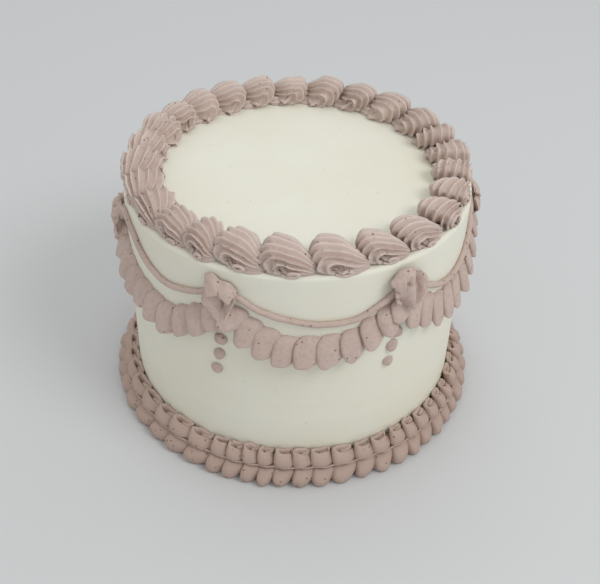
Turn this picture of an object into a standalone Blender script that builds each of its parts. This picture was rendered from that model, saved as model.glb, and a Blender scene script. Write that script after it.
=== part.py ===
"""Round iced cake with Lambeth piping: shells, string swags, ruffled garlands, bows, dots and a ruffled foot.

Metres, +Z up. The origin is the centre of the flat base, on the surface that the cake stands on.
The front faces -Y. Angles are in degrees, from the front and towards +X.
"""

import math
import random

import bmesh
import bpy
from mathutils import Vector

# Driving dimensions
CAKE_RADIUS = 0.0812
CAKE_HEIGHT = 0.1167
RIM_ROUNDING = 0.0020
GAP = 0.0004
WALL_SEGMENTS = 64

# Top border: shells that swell at their left end and trail off anticlockwise
# The angle of each shell's left end, spaced as unevenly as a hand pipes them
SHELL_ANGLES = (
    4.2, 20.4, 35.1, 51.2, 65.9, 79.4, 92.9, 106.4, 117.6, 132.8, 148.4, 162.0, 176.6,
    190.3, 203.1, 217.2, 229.2, 241.1, 254.6, 268.0, 281.5, 295.0, 308.5, 322.0, 333.1, 348.4,
)
SHELL_RING_RADIUS = 0.0740
SHELL_SIZE = 0.0180
SHELL_RIDGES = 6
SHELL_RIDGE_DEPTH = 0.20
# Along the shell's length, then outwards, up, half width and half height, in shares of its size
SHELL_STROKE = (
    (0.08, 0.12, 0.18, 0.22, 0.16),
    (0.28, 0.06, 0.32, 0.48, 0.33),
    (0.55, 0.02, 0.34, 0.56, 0.37),
    (0.90, 0.00, 0.24, 0.40, 0.28),
    (1.35, 0.02, 0.12, 0.18, 0.15),
)

# Six swags hang between six bows; the angles are where the bows sit
BOW_ANGLES = (-22.0, 35.0, 93.0, 155.0, 217.0, 281.0)
BOW_HEIGHT = 0.1025

# String swags
STRING_RADIUS = 0.0014
STRING_END_HEIGHT = 0.1045
STRING_SAG = 0.0113
STRING_BOW_CLEARANCE = 6.4
STRING_POINTS = 15

# Ruffled garlands
GARLAND_TILES = 10
GARLAND_TOP_END = 0.0990
GARLAND_SAG = 0.0125
GARLAND_DROP = 0.0135
GARLAND_DEPTH = 0.0070
GARLAND_BOW_CLEARANCE = 3.6
# Stations in one tile: place along it, and how far the icing is lifted off the wall there
TILE_STATIONS = ((0.03, 1.0), (0.45, 0.85), (0.97, 0.1))
# Tile section from its top edge to its bottom edge: share of the drop, lifted depth, tucked depth
TILE_SECTION = (
    (0.00, 0.30, 0.20),
    (0.15, 0.66, 0.42),
    (0.50, 0.92, 0.58),
    (0.85, 1.00, 0.62),
    (1.00, 0.72, 0.40),
)
# How much a tucked edge draws up, and how far the tiles turn square to the swag
TILE_TUCK = 0.10
TILE_LEAN = 0.4

# Bows: two bands across, one over the other, that swell at their ends and are pinched in the middle
BOW_BANDS = (
    {"half_width": 0.0082, "wing": 0.0060, "pinch": 0.0044, "depth": 0.0092, "rise": 0.0052},
    {"half_width": 0.0066, "wing": 0.0056, "pinch": 0.0056, "depth": 0.0088, "rise": -0.0054},
)
BOW_STATIONS = (-1.0, -0.62, -0.22, 0.22, 0.62, 1.0)

# Dots under each bow, largest first: height on the wall and radius
DOTS = ((0.0795, 0.0030), (0.0706, 0.0027), (0.0622, 0.0025))
DOT_FLATNESS = 0.85

# Foot border: a double ruffle, one leaf up the wall and one out along the base
FOOT_UNITS = 52
# Place along a unit, and how far its folds stand out there
FOOT_STATIONS = ((0.03, 1.0), (0.42, 0.9), (0.95, 0.0))
# Foot section, outwards from the wall and up, where the fold stands out and where it tucks in
FOOT_SECTION = (
    ((0.0000, 0.0130), (0.0000, 0.0120)),
    ((0.0024, 0.0158), (0.0020, 0.0140)),
    ((0.0068, 0.0150), (0.0046, 0.0136)),
    ((0.0074, 0.0082), (0.0062, 0.0080)),
    ((0.0106, 0.0058), (0.0086, 0.0046)),
    ((0.0120, 0.0022), (0.0098, 0.0016)),
    ((0.0112, 0.0000), (0.0094, 0.0000)),
    ((0.0000, 0.0000), (0.0000, 0.0000)),
)

UNEVENNESS = 0.06
SEED = 7


def material(name, colour, roughness):
    """A Principled material in one colour."""
    made = bpy.data.materials.new(name)
    made.use_nodes = True
    surface = made.node_tree.nodes["Principled BSDF"]
    surface.inputs["Base Color"].default_value = (*colour, 1.0)
    surface.inputs["Roughness"].default_value = roughness
    surface.inputs["Metallic"].default_value = 0.0
    return made


def clear_scene():
    """Removes every object that the file opens with."""
    for obj in list(bpy.data.objects):
        bpy.data.objects.remove(obj, do_unlink=True)


def collection(name):
    """A new collection in the scene."""
    made = bpy.data.collections.new(name)
    bpy.context.scene.collection.children.link(made)
    return made


def place(angle, radius, height):
    """The point at an angle round the cake, a distance from its axis and a height."""
    turn = math.radians(angle)
    return Vector((radius * math.sin(turn), -radius * math.cos(turn), height))


def off_wall(angle, along, out, height):
    """The point some way along the wall from an angle, and out from it."""
    radius = CAKE_RADIUS + out
    return place(angle + math.degrees(along / CAKE_RADIUS), radius, height)


def uneven(rng, share=UNEVENNESS):
    """A factor near 1, as a hand leaves it."""
    return 1.0 + rng.uniform(-share, share)


def loft(name, rings, target, finish, joined=False):
    """A closed solid through rings of equally many points, joined end to end or capped."""
    bm = bmesh.new()
    loops = [[bm.verts.new(point) for point in ring] for ring in rings]
    pairs = list(zip(loops, loops[1:]))
    if joined:
        pairs.append((loops[-1], loops[0]))
    else:
        bm.faces.new(loops[0])
        bm.faces.new(loops[-1])
    for first, second in pairs:
        for i in range(len(first)):
            j = (i + 1) % len(first)
            bm.faces.new((first[i], first[j], second[j], second[i]))
    bmesh.ops.triangulate(bm, faces=bm.faces)
    bmesh.ops.recalc_face_normals(bm, faces=bm.faces)
    return finished(name, bm, target, finish)


def finished(name, bm, target, finish):
    """Turns a bmesh into a named, smooth-shaded object."""
    mesh = bpy.data.meshes.new(name)
    bm.to_mesh(mesh)
    bm.free()
    mesh.materials.append(finish)
    mesh.shade_smooth()
    mesh.set_sharp_from_angle(angle=math.radians(40))
    obj = bpy.data.objects.new(name, mesh)
    target.objects.link(obj)
    return obj


def boolean(obj, others, operation, solver="EXACT"):
    """Joins or cuts an object with a collection for good, and removes the collection's objects."""
    modifier = obj.modifiers.new(operation.title(), "BOOLEAN")
    modifier.operation = operation
    modifier.operand_type = "COLLECTION"
    modifier.collection = others
    modifier.solver = solver
    bpy.context.view_layer.update()
    evaluated = obj.evaluated_get(bpy.context.evaluated_depsgraph_get())
    mesh = bpy.data.meshes.new_from_object(evaluated)
    obj.modifiers.clear()
    obj.data = mesh
    for other in list(others.objects):
        bpy.data.objects.remove(other, do_unlink=True)
    bpy.data.collections.remove(others)


def cake_body(target, finish):
    """The iced cake, one turned solid with a softly rounded top rim."""
    arc_steps = 3
    profile = [(0.0, CAKE_HEIGHT)]
    for step in range(arc_steps + 1):
        turn = math.radians(90 * (1 - step / arc_steps))
        out = CAKE_RADIUS - RIM_ROUNDING + RIM_ROUNDING * math.cos(turn)
        up = CAKE_HEIGHT - RIM_ROUNDING + RIM_ROUNDING * math.sin(turn)
        profile.append((out, up))
    profile += [(CAKE_RADIUS, 0.0), (0.0, 0.0)]
    mesh = bpy.data.meshes.new("cake_body")
    edges = [(i, i + 1) for i in range(len(profile) - 1)]
    mesh.from_pydata([(out, 0.0, up) for out, up in profile], edges, [])
    mesh.materials.append(finish)
    body = bpy.data.objects.new("cake_body", mesh)
    target.objects.link(body)
    screw = body.modifiers.new("Turned", "SCREW")
    screw.steps = screw.render_steps = WALL_SEGMENTS
    screw.use_merge_vertices = True
    screw.merge_threshold = 0.0001
    return body


def shell_rings(number, rng):
    """Star-shaped sections along one shell's stroke."""
    start = SHELL_ANGLES[number]
    length = (SHELL_ANGLES[(number + 1) % len(SHELL_ANGLES)] - start) % 360.0
    size = SHELL_SIZE * uneven(rng)
    rings = []
    for along, out, up, half_width, half_height in SHELL_STROKE:
        ring = []
        for k in range(2 * SHELL_RIDGES):
            turn = math.pi * k / SHELL_RIDGES
            reach = size * (1.0 - SHELL_RIDGE_DEPTH * (k % 2))
            radius = SHELL_RING_RADIUS + out * size + half_width * reach * math.sin(turn)
            height = CAKE_HEIGHT + up * size + half_height * reach * math.cos(turn)
            ring.append(place(start + along * length, radius, height))
        rings.append(ring)
    return rings


def top_border(target, finish):
    """The ring of shells, one fused run of icing that lies on the cake's top and laps over its rim."""
    rng = random.Random(SEED)
    ring = loft("top_border", shell_rings(0, rng), target, finish)
    shells = collection("Shells")
    for number in range(1, len(SHELL_ANGLES)):
        loft(f"shell_{number}", shell_rings(number, rng), shells, finish)
    boolean(ring, shells, "UNION")
    cutters = collection("Cutters")
    bpy.ops.mesh.primitive_cylinder_add(
        vertices=WALL_SEGMENTS,
        radius=CAKE_RADIUS + GAP,
        depth=CAKE_HEIGHT,
        location=(0, 0, CAKE_HEIGHT / 2 + GAP),
    )
    cutter = bpy.context.object
    bpy.context.collection.objects.unlink(cutter)
    cutters.objects.link(cutter)
    boolean(ring, cutters, "DIFFERENCE")
    return ring


def swag_ends(number, clearance):
    """First and last angle of a swag, which stops short of the bow at each end."""
    start = BOW_ANGLES[number]
    end = BOW_ANGLES[(number + 1) % len(BOW_ANGLES)]
    if end < start:
        end += 360.0
    return start + clearance, end - clearance


def hang(share):
    """How much of its sag a swag has at a share of its length."""
    return 1.0 - (2.0 * share - 1.0) ** 2


def string_swag(number, target, finish):
    """A thin string of icing that hangs from bow to bow."""
    start, end = swag_ends(number, STRING_BOW_CLEARANCE)
    curve = bpy.data.curves.new(f"string_{number + 1}", "CURVE")
    curve.dimensions = "3D"
    curve.bevel_depth = STRING_RADIUS
    curve.bevel_resolution = 1
    curve.use_fill_caps = True
    spline = curve.splines.new("POLY")
    spline.points.add(STRING_POINTS - 1)
    for i in range(STRING_POINTS):
        share = i / (STRING_POINTS - 1)
        height = STRING_END_HEIGHT - STRING_SAG * hang(share)
        point = off_wall(start + (end - start) * share, 0.0, STRING_RADIUS + GAP, height)
        spline.points[i].co = (*point, 1.0)
    curve.materials.append(finish)
    string = bpy.data.objects.new(f"string_{number + 1}", curve)
    target.objects.link(string)
    return string


def garland(number, name, target, finish, extra=0.0):
    """A swag of overlapping ruffle tiles, each lifted at its left edge and tucked under the next."""
    rng = random.Random(SEED + 10 + number)
    start, end = swag_ends(number, GARLAND_BOW_CLEARANCE - math.degrees(extra / CAKE_RADIUS))
    rings = []
    for tile in range(GARLAND_TILES):
        drop = GARLAND_DROP * uneven(rng)
        depth = GARLAND_DEPTH * uneven(rng)
        for along, lift in TILE_STATIONS:
            share = (tile + along) / GARLAND_TILES
            taper = min(1.0, 0.55 + 3.0 * min(share, 1.0 - share))
            tuck = TILE_TUCK * (1.0 - lift)
            section = [
                (down, depth * taper * (tucked + (lifted - tucked) * lift) + extra)
                for down, lifted, tucked in TILE_SECTION
            ]
            section += [(0.97, GAP - extra), (0.03, GAP - extra)]
            ring = []
            for down, out in section:
                reach = drop * (tuck + (1.0 - 2.0 * tuck) * down)
                reach += extra if down > 0.5 else -extra
                ring.append(swag_point(start, end, share, reach, out))
            rings.append(ring)
    return loft(name, rings, target, finish)


def swag_point(start, end, share, reach, out):
    """The point of a garland some way below its top edge and out from the wall."""
    top = GARLAND_TOP_END - GARLAND_SAG * hang(share)
    slope = GARLAND_SAG * 4 * (2 * share - 1) / (math.radians(end - start) * CAKE_RADIUS)
    lean = TILE_LEAN * math.atan(slope)
    angle = start + (end - start) * share
    return off_wall(angle, reach * math.sin(lean), out, top - reach * math.cos(lean))


def bow_band(name, angle, band, target, finish):
    """One band of a bow: two wings that stand off the wall, pinched in the middle."""
    rings = []
    for across in BOW_STATIONS:
        spread = abs(across)
        half_height = band["pinch"] + (band["wing"] - band["pinch"]) * spread
        front = band["depth"] * (0.70 + 0.30 * math.sin(math.pi * min(spread * 1.25, 1.0)))
        back = GAP if spread < 0.5 else band["depth"] * 0.30
        middle = BOW_HEIGHT + band["rise"]
        along = band["half_width"] * across
        section = (
            (back, 0.80),
            (front * 0.75, 1.0),
            (front, 0.30),
            (front, -0.45),
            (front * 0.80, -1.0),
            (back, -0.80),
        )
        rings.append([off_wall(angle, along, out, middle + half_height * up) for out, up in section])
    return loft(name, rings, target, finish)


def bow(number, target, finish):
    """A piped bow over the joint of two swags, cut clear of the icing that it covers."""
    angle = BOW_ANGLES[number]
    upper, lower = BOW_BANDS
    made = bow_band(f"bow_{number + 1}", angle, upper, target, finish)
    bands = collection("Bands")
    bow_band("lower_band", angle, lower, bands, finish)
    boolean(made, bands, "UNION")
    cutters = collection("Cutters")
    for swag in (number, number - 1):
        garland(swag % len(BOW_ANGLES), f"cutter_{swag}", cutters, finish, extra=GAP)
    boolean(made, cutters, "DIFFERENCE")
    return made


def dot(number, place_down, target, finish):
    """A small round dot of icing on the wall."""
    height, radius = DOTS[place_down]
    bm = bmesh.new()
    bmesh.ops.create_uvsphere(bm, u_segments=8, v_segments=4, radius=radius)
    centre = off_wall(BOW_ANGLES[number], 0.0, radius * DOT_FLATNESS + GAP, height)
    outwards = Vector((centre.x, centre.y, 0.0)).normalized()
    turned = outwards.to_track_quat("Z", "Y").to_matrix()
    for vert in bm.verts:
        vert.co.z *= DOT_FLATNESS
        vert.co = centre + turned @ vert.co
    return finished(f"dot_{number + 1}_{place_down + 1}", bm, target, finish)


def foot_border(target, finish):
    """The double ruffle round the foot, one closed run of folds."""
    rng = random.Random(SEED + 40)
    rings = []
    for unit in range(FOOT_UNITS):
        size = uneven(rng)
        for along, stand_out in FOOT_STATIONS:
            angle = 360.0 * (unit + along) / FOOT_UNITS
            ring = []
            for (out_full, up_full), (out_tuck, up_tuck) in FOOT_SECTION:
                out = out_tuck + (out_full * size - out_tuck) * stand_out
                up = up_tuck + (up_full * size - up_tuck) * stand_out
                ring.append(off_wall(angle, 0.0, max(out, GAP), up))
            rings.append(ring)
    return loft("foot_border", rings, target, finish, joined=True)


def build():
    """Every piece of the cake, in the order in which it is made."""
    clear_scene()
    cake = collection("Lambeth cake")
    ivory = material("Ivory buttercream", (0.76, 0.75, 0.66), 0.45)
    mauve = material("Mauve buttercream", (0.47, 0.36, 0.32), 0.60)
    cake_body(cake, ivory)
    foot_border(cake, mauve)
    for number in range(len(BOW_ANGLES)):
        string_swag(number, cake, mauve)
        garland(number, f"garland_{number + 1}", cake, mauve)
        bow(number, cake, mauve)
        for place_down in range(len(DOTS)):
            dot(number, place_down, cake, mauve)
    top_border(cake, mauve)


build()
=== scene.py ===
import math

import bmesh
import bpy
import numpy as np
from mathutils import Matrix


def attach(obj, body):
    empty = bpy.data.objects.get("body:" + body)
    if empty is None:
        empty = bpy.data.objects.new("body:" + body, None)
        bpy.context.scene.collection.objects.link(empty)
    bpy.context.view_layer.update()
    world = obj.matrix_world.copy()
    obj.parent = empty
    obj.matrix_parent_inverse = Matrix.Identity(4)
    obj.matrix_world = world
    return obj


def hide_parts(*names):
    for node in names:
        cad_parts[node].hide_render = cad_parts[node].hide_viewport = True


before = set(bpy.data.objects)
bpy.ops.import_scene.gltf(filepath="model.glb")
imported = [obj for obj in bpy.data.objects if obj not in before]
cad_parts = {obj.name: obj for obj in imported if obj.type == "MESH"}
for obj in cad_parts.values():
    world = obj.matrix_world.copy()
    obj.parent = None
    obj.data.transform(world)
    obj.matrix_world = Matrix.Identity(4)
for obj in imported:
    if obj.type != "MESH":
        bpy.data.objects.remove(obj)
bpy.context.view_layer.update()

# The iced cake: filled sponge under a coat of ivory buttercream, about 5 mm thick.
# The coat is scraped smooth against a straight edge while the cake turns, which leaves faint rings
# low on the wall, and the top is drawn in from the rim and levelled.
MM = 0.001
CAKE_RADIUS = 0.0812
CAKE_HEIGHT = 0.1167
RIM_ROUNDING = 0.0022
# Points round the cake, up its wall, over its rim and in across its top
TURNS, WALL_POINTS, RIM_POINTS, TOP_POINTS = 256, 40, 9, 26
# Marks of the scraper: bands up the wall, their depth, and how far the top is from flat
SCRAPER_BANDS = 34
BAND_DEPTH = 0.05 * MM
TOP_SWIRL = 0.10 * MM


def new_mesh_object(name, verts, faces, icing):
    mesh = bpy.data.meshes.new(name)
    mesh.from_pydata(np.asarray(verts).tolist(), [], [tuple(int(i) for i in face) for face in faces])
    mesh.materials.append(icing)
    made = bpy.data.objects.new(name, mesh)
    bpy.context.scene.collection.objects.link(made)
    return made


def face_outwards(mesh):
    bm = bmesh.new()
    bm.from_mesh(mesh)
    bmesh.ops.recalc_face_normals(bm, faces=bm.faces)
    bm.to_mesh(mesh)
    bm.free()


def grid_faces(rows, columns, first=0):
    """The faces between rows of points, where each row is a closed ring."""
    faces = []
    for i in range(rows - 1):
        for j in range(columns):
            k = (j + 1) % columns
            here, above = first + i * columns, first + (i + 1) * columns
            faces.append((here + j, here + k, above + k, above + j))
    return faces


def node(tree, kind, inputs=(), **settings):
    made = tree.nodes.new(kind)
    for key, value in settings.items():
        setattr(made, key, value)
    for key, value in dict(inputs).items():
        if isinstance(value, bpy.types.NodeSocket):
            tree.links.new(value, made.inputs[key])
        else:
            made.inputs[key].default_value = value
    return made


def blend_colours(tree, share, first, second):
    mix = node(tree, "ShaderNodeMix", data_type="RGBA")
    for socket, value in ((mix.inputs[0], share), (mix.inputs[6], first), (mix.inputs[7], second)):
        if isinstance(value, bpy.types.NodeSocket):
            tree.links.new(value, socket)
        else:
            socket.default_value = value
    return mix.outputs[2]


def steps(tree, value, low, high, out_low=0.0, out_high=1.0):
    ranged = node(tree, "ShaderNodeMapRange", {0: value, 1: low, 2: high, 3: out_low, 4: out_high})
    return ranged.outputs[0]


def ivory_buttercream():
    made = bpy.data.materials.new("Ivory buttercream, scraped")
    made.use_nodes = True
    tree = made.node_tree
    surface = tree.nodes["Principled BSDF"]
    place = node(tree, "ShaderNodeTexCoord").outputs["Object"]
    cloud = node(tree, "ShaderNodeTexNoise", {"Vector": place, "Scale": 22.0, "Detail": 3.0})
    clouded = steps(tree, cloud.outputs[0], 0.35, 0.70)
    warm = blend_colours(tree, clouded, (0.820, 0.805, 0.700, 1), (0.800, 0.770, 0.640, 1))
    speck = node(tree, "ShaderNodeTexVoronoi", {"Vector": place, "Scale": 95.0})
    spots = steps(tree, speck.outputs["Distance"], 0.035, 0.075, 0.35, 0.0)
    tree.links.new(blend_colours(tree, spots, warm, (0.60, 0.53, 0.36, 1)), surface.inputs["Base Color"])
    tree.links.new(steps(tree, cloud.outputs[0], 0.3, 0.7, 0.42, 0.52), surface.inputs["Roughness"])
    surface.inputs["Subsurface Weight"].default_value = 0.12
    surface.inputs["Subsurface Radius"].default_value = (0.004, 0.0035, 0.0022)
    surface.inputs["Subsurface Scale"].default_value = 1.0
    surface.inputs["Specular IOR Level"].default_value = 0.35
    squash = node(tree, "ShaderNodeMapping", {"Vector": place, "Scale": (1.0, 1.0, 16.0)})
    rings = node(tree, "ShaderNodeTexNoise", {"Vector": squash.outputs[0], "Scale": 18.0, "Detail": 4.0})
    grain = node(tree, "ShaderNodeTexNoise", {"Vector": place, "Scale": 900.0, "Detail": 2.0})
    low = node(tree, "ShaderNodeBump", {"Height": rings.outputs[0], "Distance": 0.00035, "Strength": 0.5})
    fine = node(
        tree,
        "ShaderNodeBump",
        {"Height": grain.outputs[0], "Distance": 0.00004, "Strength": 0.5, "Normal": low.outputs[0]},
    )
    tree.links.new(fine.outputs[0], surface.inputs["Normal"])
    return made


ivory = ivory_buttercream()


def coat_profile():
    inner = CAKE_RADIUS - RIM_ROUNDING
    shoulder = CAKE_HEIGHT - RIM_ROUNDING
    wall = [(CAKE_RADIUS, z) for z in np.linspace(0.0, shoulder, WALL_POINTS)]
    rim = []
    for turn in np.linspace(0.0, math.pi / 2, RIM_POINTS)[1:]:
        rim.append((inner + RIM_ROUNDING * math.cos(turn), shoulder + RIM_ROUNDING * math.sin(turn)))
    top = [(r, CAKE_HEIGHT) for r in np.linspace(inner, 0.0, TOP_POINTS)[1:-1]]
    return np.array(wall + rim + top)


def iced_cake():
    rng = np.random.default_rng(3)
    profile = coat_profile()
    across, up = profile[:, :1], profile[:, 1:]
    turn = np.linspace(0.0, 2 * math.pi, TURNS, endpoint=False)
    band_heights = np.linspace(0, CAKE_HEIGHT, SCRAPER_BANDS)
    bands = np.interp(up[:, 0], band_heights, rng.normal(0, 1, SCRAPER_BANDS))[:, None]
    low_down = np.clip(1.2 - up / 0.06, 0.25, 1.0)
    scraped = across + BAND_DEPTH * bands * low_down * (1 + 0.6 * np.sin(turn * 2 + 1.0))
    on_top = across < CAKE_RADIUS - RIM_ROUNDING
    out = np.where(on_top, across, scraped)
    swirl = np.sin(turn * 3 + 40 * across / CAKE_RADIUS) * across / CAKE_RADIUS
    height = up + np.where(on_top, TOP_SWIRL, 0.0) * swirl
    rows = np.stack([out * np.sin(turn), -out * np.cos(turn), height], axis=-1)
    verts = np.vstack([rows.reshape(-1, 3), [(0, 0, CAKE_HEIGHT), (0, 0, 0)]])
    faces = grid_faces(len(profile), TURNS)
    centre = len(profile) * TURNS
    last = centre - TURNS
    for j in range(TURNS):
        k = (j + 1) % TURNS
        faces.append((last + j, last + k, centre))
        faces.append((k, j, centre + 1))
    made = new_mesh_object("iced_cake", verts, faces, ivory)
    face_outwards(made.data)
    made.data.shade_smooth()
    made.data.set_sharp_from_angle(angle=math.radians(50))
    return made


coat = iced_cake()
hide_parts("cake_body")
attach(coat, "root")

# The top border: fat shells of mauve buttercream, piped with a large star nozzle anticlockwise.
# Each starts low, doubles back over its own start and trails off to the right, under the next one.
# The nozzle's teeth leave the ridges, which turn tightly round the start of the stroke.
SHELL_ANGLES = (
    4.2, 20.4, 35.1, 51.2, 65.9, 79.4, 92.9, 106.4, 117.6, 132.8, 148.4, 162.0, 176.6,
    190.3, 203.1, 217.2, 229.2, 241.1, 254.6, 268.0, 281.5, 295.0, 308.5, 322.0, 333.1, 348.4,
)
SHELL_RING_RADIUS = 0.0724
# How far a shell's middle lies past the middle of its two angles, in degrees, and how far it sinks in
SHELL_SHIFT = 2.1
SHELL_SINK = 0.0003
SHELL_LENGTH = 18.0
SHELL_KINDS = 6
SHELL_RIDGES = 8
SHELL_VALLEY = 2.6
# Points along a shell, across each of its ridges, and round the arch that spaces the ridges evenly
SHELL_POINTS = 40
RIDGE_POINTS = (0.0, 0.07, 0.20, 0.40, 0.60, 0.80, 0.93)
ARCH_POINTS = 241
# Stations from the tail over the top, round the head and in underneath, in mm: along and up on the
# back of the shell, at the eye on its outer side and at the fold on its inner side, and half width
SHELL_FOLD = (
    (10.8, 2.2, 9.8, 1.1, 9.8, 1.2, 1.2),
    (9.3, 4.6, 7.7, 1.4, 8.3, 1.6, 3.4),
    (7.0, 7.4, 5.0, 1.6, 7.0, 1.9, 5.9),
    (4.0, 9.8, 2.7, 1.5, 6.0, 2.1, 7.8),
    (0.4, 11.5, 1.2, 1.3, 5.3, 2.1, 9.0),
    (-3.5, 12.2, 0.8, 1.1, 4.8, 2.0, 9.4),
    (-7.1, 12.0, 0.7, 1.0, 4.5, 1.8, 9.6),
    (-9.7, 10.5, 0.7, 1.0, 4.3, 1.6, 9.6),
    (-10.7, 7.6, 0.7, 1.0, 4.2, 1.3, 9.5),
    (-10.6, 4.4, 0.8, 1.0, 4.3, 1.0, 9.2),
    (-9.5, 1.9, 0.9, 1.0, 4.5, 0.7, 8.8),
    (-7.0, 0.5, 0.9, 0.9, 4.9, 0.4, 8.5),
    (-3.0, -0.1, 1.0, 0.8, 5.6, 0.2, 8.1),
    (1.5, -0.1, 1.3, 0.6, 6.6, 0.1, 7.5),
    (5.5, 0.0, 2.0, 0.4, 7.6, 0.1, 6.7),
)
# The icing that spreads under the tail, in mm: along, height, half width
SHELL_SKIRT = (
    (-5.0, 1.0, 4.0), (-2.0, 2.2, 6.6), (1.5, 3.0, 8.0), (5.0, 3.5, 8.3), (8.0, 3.4, 7.8), (10.5, 2.4, 6.6),
    (11.6, 1.2, 5.0),
)
SKIRT_ROWS, SKIRT_ROUND = 14, 38
EYE_POINTS, EYE_ROUND = 30, 8


def mauve_buttercream():
    made = bpy.data.materials.new("Mauve buttercream, piped")
    made.use_nodes = True
    tree = made.node_tree
    surface = tree.nodes["Principled BSDF"]
    place = node(tree, "ShaderNodeTexCoord").outputs["Object"]
    cloud = node(tree, "ShaderNodeTexNoise", {"Vector": place, "Scale": 60.0, "Detail": 3.0})
    clouded = steps(tree, cloud.outputs[0], 0.32, 0.70)
    base = blend_colours(tree, clouded, (0.592, 0.465, 0.410, 1), (0.545, 0.420, 0.367, 1))
    mottle = node(tree, "ShaderNodeTexNoise", {"Vector": place, "Scale": 620.0, "Detail": 2.0})
    flecks = steps(tree, mottle.outputs[0], 0.46, 0.68, 0.0, 0.60)
    flecked = blend_colours(tree, flecks, base, (0.480, 0.369, 0.323, 1))
    # Painted highlight: a lighter mauve is blended in by a per-point share, high on ridge crests, leaf rims, bow
    # edges and the foot seam.
    crest = node(tree, "ShaderNodeAttribute", attribute_name="crest").outputs["Fac"]
    with_painted_light = blend_colours(tree, steps(tree, crest, 0.0, 1.0, 0.0, 0.90), flecked, (0.775, 0.665, 0.602, 1))
    # Painted shade: the mauve is darker low down, fully below 10 mm and fading out by 40 mm, over the foot ruffle.
    height = node(tree, "ShaderNodeSeparateXYZ", {0: place}).outputs[2]
    with_painted_light = blend_colours(tree, steps(tree, height, 0.010, 0.040, 1.0, 0.0), with_painted_light, (0.465, 0.340, 0.286, 1))
    # Air-bubble pits: they are bumped in, and painted shade darkens them to near black.
    bubbles = node(tree, "ShaderNodeTexVoronoi", {"Vector": place, "Scale": 310.0})
    chance = node(tree, "ShaderNodeSeparateColor", {0: bubbles.outputs["Color"]}).outputs[0]
    chosen = steps(tree, chance, 0.30, 0.32)
    round_hole = steps(tree, bubbles.outputs["Distance"], 0.085, 0.145, 1.0, 0.0)
    holes = node(tree, "ShaderNodeMath", {0: round_hole, 1: chosen}, operation="MULTIPLY").outputs[0]
    painted_pit_shade = blend_colours(tree, steps(tree, holes, 0.0, 1.0, 0.0, 0.75), with_painted_light, (0.17, 0.10, 0.08, 1))
    tree.links.new(painted_pit_shade, surface.inputs["Base Color"])
    surface.inputs["Roughness"].default_value = 0.58
    surface.inputs["Subsurface Weight"].default_value = 0.10
    surface.inputs["Subsurface Radius"].default_value = (0.0022, 0.0014, 0.0010)
    surface.inputs["Subsurface Scale"].default_value = 1.0
    surface.inputs["Specular IOR Level"].default_value = 0.30
    grain = node(tree, "ShaderNodeTexNoise", {"Vector": place, "Scale": 1100.0, "Detail": 3.0})
    soft = node(tree, "ShaderNodeTexNoise", {"Vector": place, "Scale": 260.0, "Detail": 2.0})
    pits = node(tree, "ShaderNodeBump", {"Height": holes, "Distance": 0.0006, "Strength": 0.8}, invert=True)
    low = node(
        tree,
        "ShaderNodeBump",
        {"Height": soft.outputs[0], "Distance": 0.00018, "Strength": 0.6, "Normal": pits.outputs[0]},
    )
    fine = node(
        tree,
        "ShaderNodeBump",
        {"Height": grain.outputs[0], "Distance": 0.00010, "Strength": 0.8, "Normal": low.outputs[0]},
    )
    tree.links.new(fine.outputs[0], surface.inputs["Normal"])
    return made


mauve = mauve_buttercream()


def through(rows, count):
    """Points at an even pace along a smooth line through the rows."""
    rows = np.asarray(rows, float)
    last = len(rows) - 1
    t = np.linspace(0, last, count)
    i = np.minimum(t.astype(int), last - 1)
    f = (t - i).reshape(-1, *([1] * (rows.ndim - 1)))
    a, b, c, d = (rows[np.clip(i + step, 0, last)] for step in (-1, 0, 1, 2))
    return 0.5 * (2 * b + (c - a) * f + (2 * a - 5 * b + 4 * c - d) * f**2 + (3 * b - a - 3 * c + d) * f**3)


def unit(vectors):
    return vectors / np.maximum(np.linalg.norm(vectors, axis=-1, keepdims=True), 1e-12)


def piped_piece(name, bodies, painted_highlights=None):
    """One mesh of closed bodies, each an array of rings of points in mm."""
    verts, faces, light = [], [], []
    for number, rings in enumerate(bodies):
        rows, columns = rings.shape[:2]
        first = sum(len(v) for v in verts)
        faces += grid_faces(rows, columns, first)
        for end in (0, rows - 1):
            faces.append(tuple(first + end * columns + j for j in range(columns)))
        verts.append(rings.reshape(-1, 3))
        crest = None if painted_highlights is None else painted_highlights[number]
        light.append(np.zeros(rows * columns) if crest is None else crest.reshape(-1))
    made = new_mesh_object(name, np.vstack(verts) * MM, faces, mauve)
    face_outwards(made.data)
    made.data.shade_smooth()
    # Each point's share of painted highlight, read by the mauve icing's colour.
    layer = made.data.attributes.new("crest", "FLOAT", "POINT")
    layer.data.foreach_set("value", np.concatenate(light))
    return made


def grid_normals(grid):
    return unit(np.cross(np.gradient(grid, axis=0), np.gradient(grid, axis=1)))


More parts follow.
